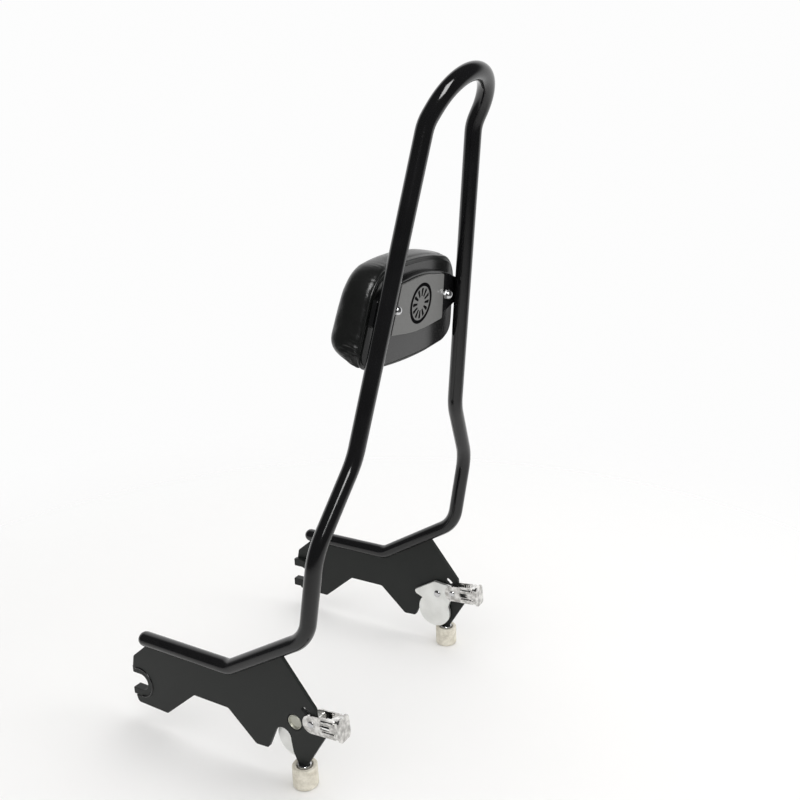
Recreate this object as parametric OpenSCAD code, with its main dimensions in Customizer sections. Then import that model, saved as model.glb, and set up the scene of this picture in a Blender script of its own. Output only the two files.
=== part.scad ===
// Detachable motorcycle passenger backrest: a bent bar hoop on two docking side plates,
// with a pad on a cross plate and a sprung rotary latch at each rear docking slot.
// Frame: X across the motorcycle (+X its left side), -Y forwards, +Z up, floor at z = 0.

/* [Hoop bar] */
// Diameter of the round bar
bar_d = 16; // [12:0.5:18]
// Distance between the two lower rails, centre to centre
rail_span = 292; // [250:1:330]
// Distance between the legs at the waist, centre to centre
waist_span = 195; // [170:1:230]
// Bend radius of the arch at the top
arch_r = 42.75; // [36:0.25:48]
// Backward lean of the hoop from the vertical
lean = 10; // [6:0.1:14]
// Inward taper of each leg above the waist
taper = 10.4; // [9:0.1:11.5]
// Leg length from the heel bend up to the bend that kicks the arch back
kick_s = 452; // [430:1:465]
// Angle by which the arch is kicked back from the legs
kick = 22; // [10:1:28]
// Bend radius at the kick
kick_bend_r = 38; // [28:1:44]
// Leg length from the heel bend up to the shoulder bend
shoulder_s = 89; // [75:1:105]
// Leg length from the heel bend up to the waist bend
waist_s = 163.5; // [150:0.5:180]
// Bend radius at the shoulder and the waist
leg_bend_r = 60; // [40:1:75]
// Bend radius at the heel, where the leg turns onto the side plate
heel_bend_r = 38; // [26:1:44]
// Bend radius at the vee in the rail
vee_bend_r = 24; // [18:1:40]
// Height of the level front rail's centre
rail_z = 103; // [98:0.5:112]
// Place of the rail's front end along Y
rail_front_y = -148.6; // [-152.6:0.5:-142.6]
// Place of the vee in the rail along Y
vee_y = -34.6; // [-46.6:0.5:-24.6]
// Place of the heel bend along Y
heel_y = 63.4; // [59.4:0.5:69.4]
// Rise angle of the rail between the vee and the heel
rise = 30.8; // [28:0.1:34]

/* [Side plates] */
// Thickness of each side plate
plate_t = 4; // [3.5:0.25:6]
// Diameter of the vehicle's docking bushing, which the notch and the slot fit
dock_d = 19; // [17:0.5:20]
// Place of the front docking notch along Y
notch_y = -162.6; // [-165.6:0.5:-159.6]
// Height of the front docking notch
notch_z = 47.5; // [45:0.5:50]
// Place of the rear docking slot along Y
slot_y = 28.4; // [26.4:0.5:30.4]
// Height of the rear docking slot
slot_z = 47; // [45:0.5:49]
// Height of the plate's belly edge between the hooks
belly_z = 56; // [52:0.5:60]
// Height of the front hook's lower edge
hook_z = 22; // [20:0.5:24]
// Radius of the plate's outer corners
corner_r = 4; // [2:0.25:5]
// Depth that welded edges sink into the bar
weld_seat = 0.8; // [0.3:0.1:1.2]

/* [Notch bushing] */
// Wall of the bushing around the docking opening
bushing_wall = 8; // [6:0.5:9]
// How far the bushing stands proud of the plate's inner face
bushing_proud = 6; // [3:0.5:9]
// Width of the shoulder that seats on the plate's inner face
bushing_shoulder = 2; // [1:0.25:3]
// How much shorter the bushing's upper lip is than its lower lip
lip_step = 2; // [1:0.5:4]

/* [Latch] */
// Thickness of the latch plate
latch_t = 4; // [3:0.25:5]
// Radius of the latch plate's locking lobe
lobe_r = 21; // [19:0.25:21.5]
// Diameter of the latch pivot's journal
journal_d = 9.9; // [9:0.1:10.5]
// Diameter of the recess in the side plate that holds the pivot's cap
pocket_d = 17.4; // [16:0.2:19]
// Depth of the cap's recess
pocket_depth = 2.6; // [1.8:0.1:2.9]
// Thickness of the pivot's cap
disc_t = 0.9; // [0.6:0.1:1.1]
// Wire diameter of the return spring
spring_wire = 0.5; // [0.4:0.05:0.6]
// Thickness of the thrust washer behind the latch plate
thrust_t = 1.7; // [1.7:0.1:2.2]
// Opening travel of the latch and lever, in degrees
latch_travel = 40; // [30:1:42]

/* [Lever] */
// Thickness of each lever arm
arm_t = 1.8; // [1.4:0.1:2.4]
// Height of the lever
lever_h = 20; // [17:0.5:22]
// Length of the lever from its rivet to the thumb flange
lever_l = 33.5; // [32:0.5:40]
// Upward tilt of the lever at rest
lever_tilt = 5; // [0:0.5:8]
// Diameter of the lever rivet
lever_rivet_d = 5; // [4:0.25:6]

/* [Pad] */
// Width of the pad at its lower corners
pad_w_low = 178; // [166:1:196]
// Width of the pad at its upper corners
pad_w_top = 146; // [136:1:160]
// Height of the pad along the lean
pad_h = 98; // [88:1:104]
// Place of the pad's lower edge, as leg length above the heel bend
pad_s = 234; // [230:1:242]
// Depth of the cushion from its back to its face
cushion_t = 39; // [32:1:50]
// Thickness of the backing board
board_t = 5; // [4:0.5:8]
// Corner radius of the pad's lower corners
pad_corner_r = 17; // [12:1:24]
// Corner radius of the pad's upper corners
pad_top_r = 28; // [20:1:30]

/* [Cross plate and badge] */
// Thickness of the cross plate
cross_t = 5; // [4:0.5:6]
// Rise of the cross plate's curved upper and lower edges
cross_bow = 16; // [12:0.5:18]
// Width of the cross plate's rim above the badge
cross_rim = 2.5; // [1.5:0.25:4]
// Height of the badge plate at its side edges
badge_h = 45; // [38:1:50]
// Clearance between the badge plate and each nut's washer
badge_gap = 3.7; // [2:0.1:6]
// Thickness of the badge plate
badge_t = 2; // [1.5:0.25:3]
// Rise of the badge's curved upper and lower edges
badge_bow = 4; // [3:0.5:8]
// Spacing of the two pad studs
stud_span = 97; // [94:1:108]
// Diameter of the pad studs
stud_d = 6; // [5:0.5:6.5]
// Width across the flats of the dome nuts
nut_af = 10; // [9.5:0.5:12]

/* [Feet] */
// Outer diameter of the foot cups
foot_d = 25; // [23:0.5:28]
// Height of the foot cups
foot_h = 22; // [20:0.5:22]
// Depth of the recess that takes the side plate's tip
foot_recess = 4; // [3:0.25:6]

/* [Hidden] */
$fn = 64;

black_gloss = [0.03, 0.03, 0.035];
black_satin = [0.16, 0.17, 0.16];
vinyl_black = [0.07, 0.07, 0.07];
badge_grey = [0.45, 0.45, 0.44];
zinc = [0.78, 0.80, 0.80];
chrome = [0.85, 0.85, 0.86];
rubber_beige = [0.72, 0.70, 0.62];

// Clearances
running_gap = 0.05;
side_gap = 0.1;
slip_gap = 0.15;
clear_gap = 0.4;

// Hoop points. A leg point is [x, s] in the leaning plane, s along the lean from the heel.
rail_x = rail_span / 2;
waist_x = waist_span / 2;
heel_z = rail_z + (heel_y - vee_y) * tan(rise);

function on_lean(x, s, forward = 0) =
    [x, heel_y + s * sin(lean) - forward * cos(lean), heel_z + s * cos(lean) + forward * sin(lean)];
function leg_x(s) = waist_x - (s - waist_s) * tan(taper);

// The arch leans back by a further kick angle, and its radius always leaves room for the kick bend.
kick_x = leg_x(kick_s);
kick_tangent = kick_bend_r * tan(kick / 2);
arch_bend_r = min(arch_r, (kick_x / sin(taper) - kick_tangent - 1) * tan(taper));
function on_kick(x, up) = on_lean(x, kick_s) + up * [0, sin(lean + kick), cos(lean + kick)];

function unit(v) = v / norm(v);
function arc(centre, r, from, to, steps = 8) =
    [for (i = [0:steps]) let (a = from + (to - from) * i / steps) centre + r * [cos(a), sin(a)]];

// Side plate places that several pieces share
plate_in = rail_x - plate_t / 2;
plate_out = rail_x + plate_t / 2;
dock_r = dock_d / 2;
pivot_y = slot_y + dock_r * 1.6105;
pivot_z = slot_z + dock_r * 2.1579;
rivet_y = pivot_y + lobe_r * 0.9857;
rivet_z = pivot_z + lobe_r * 0.2619;
rivet_reach = norm([rivet_y - pivot_y, rivet_z - pivot_z]);
rivet_angle = atan2(rivet_z - pivot_z, rivet_y - pivot_y);
tip_z = foot_h - foot_recess;
tip_y = pivot_y + 7.2;

// Cross plate and pad places, as forward distances from the hoop's plane
cross_back = bar_d / 2 - 0.3;
cross_front = cross_back + cross_t;
board_front = cross_front + board_t;
cushion_back = cross_front + 0.3;
board_edge = 3.4;
pad_mid_s = pad_s + pad_h / 2;
stud_s = pad_s + 59;
badge_mid_s = stud_s - 2;
washer_d = nut_af + 2.6;
badge_w = stud_span - washer_d - 2 * badge_gap;

// Outline helpers

// Rounds the corners of a closed outline whose points are [a, b, radius].
function rounded(points) = [
    for (i = [0:len(points) - 1])
        let (
            n = len(points),
            here = [points[i][0], points[i][1]],
            before = [points[(i + n - 1) % n][0], points[(i + n - 1) % n][1]],
            after = [points[(i + 1) % n][0], points[(i + 1) % n][1]],
            u = unit(before - here),
            v = unit(after - here),
            half = acos(max(-1, min(1, u * v))) / 2,
            wanted = points[i][2],
            r = min(wanted, 0.48 * tan(half) * min(norm(before - here), norm(after - here)))
        )
        each (r < 0.05 || half > 88
            ? [here]
            : let (
                centre = here + unit(u + v) * r / sin(half),
                start = here + u * r / tan(half) - centre,
                end = here + v * r / tan(half) - centre,
                a0 = atan2(start[1], start[0]),
                turn = ((atan2(end[1], end[0]) - a0 + 540) % 360) - 180
            )
            [for (k = [0:6]) centre + r * [cos(a0 + turn * k / 6), sin(a0 + turn * k / 6)]])
];

// Extrudes an outline drawn in (y, z) from x0 to x1.
module side_extrude(x0, x1, points) {
    translate([x0, 0, 0])
        rotate([90, 0, 90])
            linear_extrude(x1 - x0)
                polygon(points);
}

// A cylinder along X, at (y, z), from x0 to x1.
module cross_cylinder(x0, x1, y, z, r) {
    translate([x0, y, z])
        rotate([0, 90, 0])
            cylinder(r = r, h = x1 - x0);
}

// Puts children drawn in (x, s, forward) into the leaning plane of the hoop.
module in_lean() {
    translate([0, heel_y, heel_z])
        rotate([90 - lean, 0, 0])
            children();
}

module both_sides(left) {
    if (left)
        children();
    else
        mirror([1, 0, 0])
            children();
}

// Bent bar

bar_sides = 32;
bend_step = 8;

// Corners of the bar's centre line, each [point, bend radius], from the left rail over the arch.
left_corners = [
    [[rail_x, rail_front_y, rail_z], 0],
    [[rail_x, vee_y, rail_z], vee_bend_r],
    [on_lean(rail_x, 0), heel_bend_r],
    [on_lean(rail_x, shoulder_s), leg_bend_r],
    [on_lean(waist_x, waist_s), leg_bend_r],
    [on_lean(kick_x, kick_s), kick_bend_r]
];
bar_corners = concat(
    left_corners,
    [[on_kick(0, kick_x / tan(taper)), arch_bend_r]],
    [for (i = [len(left_corners) - 1:-1:0])
        [[-left_corners[i][0][0], left_corners[i][0][1], left_corners[i][0][2]], left_corners[i][1]]]
);

// Stations along one bend, each [centre, direction, section radius].
function bend_stations(before, corner, after, r) =
    let (
        u = unit(before - corner),
        v = unit(after - corner),
        half = acos(u * v) / 2,
        centre = corner + unit(u + v) * r / sin(half),
        out = unit(corner + u * r / tan(half) - centre),
        turn = 180 - 2 * half,
        steps = ceil(turn / bend_step)
    )
    [for (k = [0:steps]) let (a = turn * k / steps)
        [centre + r * (out * cos(a) - u * sin(a)), -out * sin(a) - u * cos(a), bar_d / 2]];

// Stations of the domed end of the bar; ahead is the bar's direction, side is -1 at its start.
function dome_stations(end, ahead, side) =
    [for (k = [0:3]) let (a = side < 0 ? 75 - 25 * k : 25 * k)
        [end + ahead * side * bar_d / 2 * sin(a), ahead, bar_d / 2 * cos(a)]];

bar_last = len(bar_corners) - 1;
bar_stations = concat(
    dome_stations(bar_corners[0][0], unit(bar_corners[1][0] - bar_corners[0][0]), -1),
    [for (i = [1:bar_last - 1])
        each bend_stations(bar_corners[i - 1][0], bar_corners[i][0], bar_corners[i + 1][0],
            bar_corners[i][1])],
    dome_stations(bar_corners[bar_last][0], unit(bar_corners[bar_last][0] - bar_corners[bar_last - 1][0]), 1)
);

// A direction across the bar, carried along it without twist.
function across(ref, ahead) = unit(ref - ahead * (ref * ahead));
bar_refs = [for (i = 0, ref = [1, 0, 0]; i < len(bar_stations);
    i = i + 1, ref = across(ref, bar_stations[min(i, len(bar_stations) - 1)][1])) ref];

module hoop_bar() {
    points = [for (i = [0:len(bar_stations) - 1])
        let (
            centre = bar_stations[i][0],
            ahead = bar_stations[i][1],
            ref = across(bar_refs[i], ahead),
            other = cross(ahead, ref)
        )
        for (k = [0:bar_sides - 1]) let (a = 360 * k / bar_sides)
            centre + bar_stations[i][2] * (ref * cos(a) + other * sin(a))];
    walls = [for (i = [0:len(bar_stations) - 2]) for (k = [0:bar_sides - 1])
        let (n = (k + 1) % bar_sides)
            [i * bar_sides + k, (i + 1) * bar_sides + k, (i + 1) * bar_sides + n, i * bar_sides + n]];
    start_cap = [for (k = [0:bar_sides - 1]) k];
    end_cap = [for (k = [bar_sides - 1:-1:0]) (len(bar_stations) - 1) * bar_sides + k];
    color(black_gloss)
        polyhedron(points = points, faces = concat(walls, [start_cap, end_cap]), convexity = 10);
}

// Side plates

// Underside of the rail, where the plate's upper edge sits in the weld.
seat_drop = bar_d / 2 - weld_seat;
vee_seat_y = vee_y + seat_drop * tan(rise / 2);
function seat_z(y) = y < vee_seat_y
    ? rail_z - seat_drop
    : rail_z - seat_drop + (y - vee_seat_y) * tan(rise);
rear_top_y = heel_y - 30.7;

function side_plate_outline() = rounded([
    [rail_front_y, seat_z(rail_front_y), 0],
    [notch_y - 7, notch_z + 30.5, corner_r],
    [notch_y - 10, notch_z + 16, 1],
    [notch_y - 10, notch_z - 16, 1],
    [notch_y - 7, hook_z, corner_r],
    [notch_y + 35.5, hook_z - 1, corner_r + 1],
    [notch_y + 77, belly_z, corner_r],
    [slot_y - 68.5, belly_z, corner_r],
    [slot_y - 35, slot_z - 21, corner_r],
    [slot_y - 19.5, slot_z - 20, corner_r],
    [slot_y - dock_r + 0.1, slot_z + 3, 0],
    [slot_y + dock_r - 0.1, slot_z, 0],
    [slot_y + dock_r + 2, slot_z - 14, 5],
    [tip_y - 4, tip_z, 2.5],
    [tip_y + 1.5, tip_z, 2.5],
    [rivet_y + 14.5, pivot_z - 5.5, corner_r - 1],
    [rivet_y + 10, pivot_z - 1, 2],
    [rivet_y + 5, pivot_z + 3, 2],
    [rivet_y + 4.5, pivot_z + 21.5, 2],
    [rear_top_y, seat_z(rear_top_y), 0],
    [vee_seat_y, seat_z(vee_seat_y), 0]
]);

// Outline of the lever rivet's path through the plate, concentric with the latch pivot.
function rivet_track() =
    let (
        track_r = lever_rivet_d / 2 + clear_gap,
        pivot = [pivot_y, pivot_z],
        low = rivet_angle - 1,
        high = rivet_angle + latch_travel + 1
    )
    concat(
        arc(pivot, rivet_reach + track_r, low, high, 12),
        arc(pivot + rivet_reach * [cos(high), sin(high)], track_r, high + 15, high + 165, 10),
        arc(pivot, rivet_reach - track_r, high, low, 12),
        arc(pivot + rivet_reach * [cos(low), sin(low)], track_r, low + 195, low + 345, 10)
    );

module side_plate(left) {
    bushing_r = dock_r + bushing_wall;
    both_sides(left)
        color(black_satin)
            difference() {
                side_extrude(plate_in, plate_out, side_plate_outline());
                cross_cylinder(plate_in - 1, plate_out + 1, notch_y, notch_z, bushing_r);
                translate([plate_in - 1, notch_y - 30, notch_z - bushing_r])
                    cube([plate_t + 2, 30, 2 * bushing_r]);
                cross_cylinder(plate_in - 1, plate_out + 1, slot_y, slot_z, dock_r);
                cross_cylinder(plate_in - 1, plate_out + 1, pivot_y, pivot_z, journal_d / 2 + running_gap);
                cross_cylinder(plate_out - pocket_depth, plate_out + 1, pivot_y, pivot_z, pocket_d / 2);
                side_extrude(plate_in - 1, plate_out + 1, rivet_track());
            }
}

// Notch bushing: a U-shaped liner with a shoulder on the plate's inner face

module bushing_blank(x0, x1, r, reach) {
    intersection() {
        union() {
            cross_cylinder(x0, x1, notch_y, notch_z, r);
            translate([x0, notch_y - reach, notch_z - r])
                cube([x1 - x0, reach, 2 * r]);
        }
        union() {
            translate([x0 - 1, notch_y - reach, notch_z - 2 * r])
                cube([x1 - x0 + 2, reach + 2 * r, 2 * r]);
            translate([x0 - 1, notch_y - reach + lip_step, notch_z - r])
                cube([x1 - x0 + 2, reach + 2 * r, 3 * r]);
        }
    }
}

module notch_bushing(left) {
    spigot_r = dock_r + bushing_wall - slip_gap;
    reach = dock_r + 3.5;
    both_sides(left)
        color(black_satin)
            difference() {
                union() {
                    bushing_blank(plate_in - side_gap, plate_out - 0.5, spigot_r, reach);
                    bushing_blank(plate_in - bushing_proud, plate_in, spigot_r + bushing_shoulder, reach);
                }
                cross_cylinder(plate_in - bushing_proud - 1, plate_out + 1, notch_y, notch_z, dock_r);
                translate([plate_in - bushing_proud - 1, notch_y - reach - 1, notch_z - dock_r])
                    cube([plate_t + bushing_proud + 2, reach + 1, dock_d]);
            }
}

// Cross plate, badge and pad

// A barrel outline in (x, s): straight tapered sides, bowed upper and lower edges.
function barrel(mid_s, w_low, w_top, h, bow, low_corner_r, top_corner_r) =
    let (
        low = mid_s - h / 2,
        top = mid_s + h / 2,
        low_r = (w_low * w_low / 4 + bow * bow) / (2 * bow),
        top_r = (w_top * w_top / 4 + bow * bow) / (2 * bow),
        low_a = asin(w_low / 2 / low_r) * max(0.25, 1 - 3.6 * low_corner_r / w_low),
        top_a = asin(w_top / 2 / top_r) * max(0.25, 1 - 3.6 * top_corner_r / w_top),
        low_arc = arc([0, low - bow + low_r], low_r, -90 - low_a, -90 + low_a),
        top_arc = arc([0, top + bow - top_r], top_r, 90 - top_a, 90 + top_a)
    )
    rounded(concat(
        [[-w_low / 2, low, low_corner_r]],
        [for (p = low_arc) [p[0], p[1], 0]],
        [[w_low / 2, low, low_corner_r], [w_top / 2, top, top_corner_r]],
        [for (p = top_arc) [p[0], p[1], 0]],
        [[-w_top / 2, top, top_corner_r]]
    ));

function width_at(mid_w, mid_s, s) = mid_w - 2 * (s - mid_s) * tan(taper);

module stud_holes(z0, z1, r) {
    for (side = [-1, 1])
        translate([side * stud_span / 2, stud_s, z0])
            cylinder(r = r, h = z1 - z0);
}

// The cross plate is welded on the front of both legs and follows their taper.
module cross_plate() {
    top = badge_mid_s + badge_h / 2 + badge_bow + cross_rim;
    low = badge_mid_s - badge_h / 2 - badge_bow + 1;
    mid = (top + low) / 2;
    h = top - low - 2 * cross_bow;
    color(black_gloss)
        in_lean()
            difference() {
                translate([0, 0, cross_back])
                    linear_extrude(cross_t)
                        polygon(barrel(mid, 2 * leg_x(mid - h / 2) + 8, 2 * leg_x(mid + h / 2) + 8,
                            h, cross_bow, 2, 2));
                stud_holes(cross_back - 1, cross_front + 1, stud_d / 2 + 0.25);
            }
}

// Badge plate with a plain engraved ring of strokes.
module badge_plate() {
    strokes = 12;
    stroke_depth = 0.4;
    color(badge_grey)
        in_lean()
            difference() {
                translate([0, 0, cross_back - badge_t])
                    linear_extrude(badge_t)
                        polygon(barrel(badge_mid_s,
                            width_at(badge_w, badge_mid_s, badge_mid_s - badge_h / 2),
                            width_at(badge_w, badge_mid_s, badge_mid_s + badge_h / 2),
                            badge_h, badge_bow, 2, 2));
                translate([0, badge_mid_s, cross_back - badge_t - 1])
                    for (i = [0:strokes - 1])
                        rotate([0, 0, i * 360 / strokes])
                            translate([badge_h * 0.17, -0.6, 0])
                                cube([badge_h * 0.17, 1.2, 1 + stroke_depth]);
            }
}

function pad_outline(inset) =
    barrel(pad_mid_s, pad_w_low - 2 * inset, pad_w_top - 2 * inset, pad_h - 14 - 2 * inset, 7,
        pad_corner_r - inset / 2, pad_top_r - inset / 2);

module pad_board() {
    color(vinyl_black)
        in_lean()
            difference() {
                translate([0, 0, cross_front])
                    linear_extrude(board_t)
                        polygon(pad_outline(board_edge));
                stud_holes(cross_front - 1, board_front + 1, stud_d / 2 + 0.25);
                stud_holes(board_front - 1.6, board_front + 1, 9.2);
            }
}

// The cushion is a crowned block with a pocket in its back, in which the board lies.
module pad_cushion() {
    face_inset = 18;
    back_inset = 1;
    full_depth = cushion_t * 0.62;
    color(vinyl_black)
        in_lean()
            difference() {
                translate([0, 0, cushion_back])
                    hull() {
                        translate([0, 0, 3])
                            linear_extrude(full_depth - 3)
                                polygon(pad_outline(0));
                        linear_extrude(cushion_t * 0.88)
                            polygon(pad_outline(back_inset));
                        linear_extrude(cushion_t)
                            polygon(pad_outline(face_inset));
                    }
                translate([0, 0, cushion_back - 1])
                    linear_extrude(board_front - cushion_back + 1)
                        polygon(pad_outline(board_edge - clear_gap));
            }
}

// Pad fasteners

nut_h = 3.8;
nut_washer_t = 1;
nut_seat = cross_back - nut_washer_t;

// A bolt whose flat head is set in the board under the cushion.
module pad_bolt(left) {
    both_sides(left)
        color(chrome)
            in_lean()
                translate([stud_span / 2, stud_s, 0]) {
                    translate([0, 0, board_front - 1.6])
                        cylinder(r = 9, h = 1.6);
                    translate([0, 0, nut_seat - nut_h - 1])
                        cylinder(d = stud_d, h = board_front - 1 - (nut_seat - nut_h - 1));
                }
}

module dome_nut(left) {
    both_sides(left)
        color(chrome)
            in_lean()
                translate([stud_span / 2, stud_s, nut_seat])
                    mirror([0, 0, 1])
                        difference() {
                            union() {
                                intersection() {
                                    cylinder(d = nut_af / cos(30), h = nut_h, $fn = 6);
                                    cylinder(d1 = nut_af + 0.4, d2 = nut_af + 2.2, h = 1);
                                }
                                translate([0, 0, 1])
                                    cylinder(d = nut_af / cos(30), h = nut_h - 1, $fn = 6);
                                translate([0, 0, nut_h])
                                    intersection() {
                                        sphere(d = nut_af - 1);
                                        cylinder(d = nut_af, h = nut_af);
                                    }
                            }
                            translate([0, 0, -1])
                                cylinder(d = stud_d + 0.04, h = nut_h + 2);
                        }
}

module nut_washer(left) {
    both_sides(left)
        color(chrome)
            in_lean()
                translate([stud_span / 2, stud_s, nut_seat])
                    difference() {
                        cylinder(d = washer_d, h = nut_washer_t);
                        translate([0, 0, -1])
                            cylinder(d = stud_d + 0.4, h = nut_washer_t + 2);
                    }
}

// Latch

latch_out = plate_in - thrust_t - side_gap;
latch_in = latch_out - latch_t;
arm_in = latch_in - arm_t;
arm_out = plate_out + clear_gap;
disc_in = plate_out - pocket_depth + side_gap;
journal_in = plate_in - thrust_t - side_gap;

// The latch plate's corners in lobe radii from the pivot.
function latch_body_outline() = rounded([
    for (p = [
        [-1.69, -0.176, 0.17],
        [-0.19, 0.738, 0.1],
        [0.748, 0.643, 0.1],
        [1.295, 0.524, 0.14],
        [1.295, 0.048, 0.14],
        [0.81, -0.333, 0.14],
        [0.524, -1.19, 0],
        [-0.952, -1.19, 0],
        [-0.952, -0.49, 0.05]
    ])
        [pivot_y + lobe_r * p[0], pivot_z + lobe_r * p[1], lobe_r * p[2]]
]);

// Flat latch plate: beak above, locking lobe below, jaw between them.
module latch_plate(left) {
    both_sides(left)
        color(zinc)
            difference() {
                union() {
                    side_extrude(latch_in, latch_out, latch_body_outline());
                    cross_cylinder(latch_in, latch_out, pivot_y - lobe_r * 0.229, pivot_z - lobe_r * 1.095, lobe_r);
                }
                cross_cylinder(latch_in - 1, latch_out + 1, pivot_y, pivot_z, journal_d * 0.35);
                cross_cylinder(latch_in - 1, latch_out + 1, rivet_y, rivet_z, lever_rivet_d / 2);
            }
}

// Shoulder rivet: a dished cap in the recess, journal in the side plate, tail peened on the latch.
module latch_pivot(left) {
    head_r = journal_d * 0.46;
    cap_r = pocket_d / 2 - clear_gap;
    both_sides(left)
        color(zinc)
            translate([0, pivot_y, pivot_z])
                rotate([0, 90, 0])
                    rotate_extrude()
                        polygon([
                            [0, latch_in - 2.2],
                            [head_r * 0.55, latch_in - 2],
                            [head_r * 0.9, latch_in - 1.1],
                            [head_r, latch_in],
                            [journal_d * 0.35, latch_in],
                            [journal_d * 0.35, journal_in],
                            [journal_d / 2, journal_in],
                            [journal_d / 2, disc_in],
                            [cap_r, disc_in],
                            [cap_r, plate_out - 0.3],
                            [cap_r - 0.3, plate_out],
                            [cap_r - 0.9, plate_out],
                            [cap_r - 1.3, disc_in + disc_t],
                            [0, disc_in + disc_t]
                        ]);
}

// The thrust washer spaces the latch off the plate, and the return spring is wound round it.
collar_r = journal_d / 2 + 1.3;

module thrust_washer(left) {
    both_sides(left)
        color(rubber_beige)
            difference() {
                cross_cylinder(plate_in - thrust_t, plate_in, pivot_y, pivot_z, collar_r);
                cross_cylinder(plate_in - thrust_t - 1, plate_in + 1, pivot_y, pivot_z,
                    journal_d / 2 + slip_gap);
            }
}

// Torsion spring of two turns between the side plate and the latch plate.
module return_spring(left) {
    turns = 2;
    steps = 24;
    sides = 8;
    wire_r = spring_wire / 2;
    coil_r = collar_r + clear_gap / 2 + wire_r;
    rings = turns * steps;
    pitch = spring_wire * 1.04;
    points = [for (i = [0:rings]) let (a = 360 * i / steps) for (k = [0:sides - 1])
        let (b = 360 * k / sides, r = coil_r + wire_r * cos(b))
            [plate_in - wire_r - pitch * i / steps - wire_r * sin(b),
                pivot_y + r * cos(a), pivot_z + r * sin(a)]];
    tube_faces = [for (i = [0:rings - 1]) for (k = [0:sides - 1])
        let (n = (k + 1) % sides)
            [i * sides + k, (i + 1) * sides + k, (i + 1) * sides + n, i * sides + n]];
    start_cap = [for (k = [0:sides - 1]) k];
    end_cap = [for (k = [sides - 1:-1:0]) rings * sides + k];
    both_sides(left)
        color(chrome)
            polyhedron(points = points, faces = concat(tube_faces, [start_cap, end_cap]), convexity = 6);
}

// Lever: two arms either side of the plates, joined behind them by the thumb block

module at_lever() {
    translate([0, rivet_y, rivet_z])
        rotate([lever_tilt, 0, 0])
            children();
}

module lever_arm(x0, x1) {
    half = lever_h / 2;
    slot_h = lever_h * 0.25;
    difference() {
        union() {
            cross_cylinder(x0, x1, 0, 0, half - 0.5);
            side_extrude(x0, x1, rounded([
                [0, -half + 0.5, 0], [lever_l - 6, -half, 0], [lever_l - 6, half, 0], [2, half, 2]
            ]));
        }
        side_extrude(x0 - 1, x1 + 1, rounded([
            [10.5, -slot_h / 2, 1], [lever_l - 12, -slot_h / 2, 1],
            [lever_l - 12, slot_h / 2, 1], [10.5, slot_h / 2, 1]
        ]));
        cross_cylinder(x0 - 1, x1 + 1, 0, 0, lever_rivet_d / 2);
    }
}

// The thumb block and its flange, drawn in (x, z) and extruded along the lever.
module lever_end(x0, x1, y0, y1, h, r) {
    translate([0, y1, 0])
        rotate([90, 0, 0])
            linear_extrude(y1 - y0)
                polygon(rounded([[x0, -h / 2, r], [x1, -h / 2, r], [x1, h / 2, r], [x0, h / 2, r]]));
}

module lever(left) {
    outer = arm_out + arm_t;
    both_sides(left)
        color(chrome)
            at_lever() {
                lever_arm(arm_in, latch_in);
                lever_arm(arm_out, outer);
                lever_end(arm_in, outer, lever_l - 10, lever_l - 2.5, lever_h, 2);
                lever_end(arm_in + 1.2, outer - 1.2, lever_l - 3, lever_l - 1, lever_h - 3, 2);
                lever_end(arm_in - 1.6, outer + 1.6, lever_l - 1.5, lever_l + 0.7, lever_h + 3.5, 4);
            }
}

module lever_rivet(left) {
    head_r = lever_rivet_d * 0.72;
    outer = arm_out + arm_t;
    both_sides(left)
        color(chrome)
            translate([0, rivet_y, rivet_z])
                rotate([0, 90, 0])
                    rotate_extrude()
                        polygon([
                            [0, arm_in - 1.2],
                            [head_r * 0.7, arm_in - 0.9],
                            [head_r, arm_in],
                            [lever_rivet_d / 2, arm_in],
                            [lever_rivet_d / 2, outer],
                            [head_r, outer],
                            [head_r * 0.7, outer + 0.9],
                            [0, outer + 1.2]
                        ]);
}

// Feet

module foot_cup(left) {
    recess_r = foot_d * 0.32;
    both_sides(left)
        color(rubber_beige)
            translate([rail_x, tip_y, 0])
                rotate_extrude()
                    polygon([
                        [0, 0],
                        [foot_d / 2 - 1.2, 0],
                        [foot_d / 2, 1.2],
                        [foot_d / 2, foot_h - 0.8],
                        [foot_d / 2 - 0.8, foot_h],
                        [recess_r + 0.8, foot_h],
                        [recess_r, foot_h - 0.8],
                        [recess_r, tip_z],
                        [0, tip_z]
                    ]);
}

hoop_bar();
side_plate(true);  // left_side_plate
side_plate(false);  // right_side_plate
notch_bushing(true);  // left_notch_bushing
notch_bushing(false);  // right_notch_bushing
cross_plate();
badge_plate();
pad_board();
pad_cushion();
pad_bolt(true);  // left_pad_bolt
pad_bolt(false);  // right_pad_bolt
dome_nut(true);  // left_dome_nut
dome_nut(false);  // right_dome_nut
nut_washer(true);  // left_nut_washer
nut_washer(false);  // right_nut_washer
latch_plate(true);  // left_latch_plate
latch_plate(false);  // right_latch_plate
latch_pivot(true);  // left_latch_pivot
latch_pivot(false);  // right_latch_pivot
return_spring(true);  // left_return_spring
return_spring(false);  // right_return_spring
thrust_washer(true);  // left_thrust_washer
thrust_washer(false);  // right_thrust_washer
lever(true);  // left_lever
lever(false);  // right_lever
lever_rivet(true);  // left_lever_rivet
lever_rivet(false);  // right_lever_rivet
foot_cup(true);  // left_foot_cup
foot_cup(false);  // right_foot_cup
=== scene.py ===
"""Studio picture of a detachable motorcycle backrest: bent bar hoop, docking plates, pad and latches."""

from math import atan2, cos, degrees, pi, radians, sin, tan

import bmesh
import bpy
from mathutils import Matrix, Vector


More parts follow.
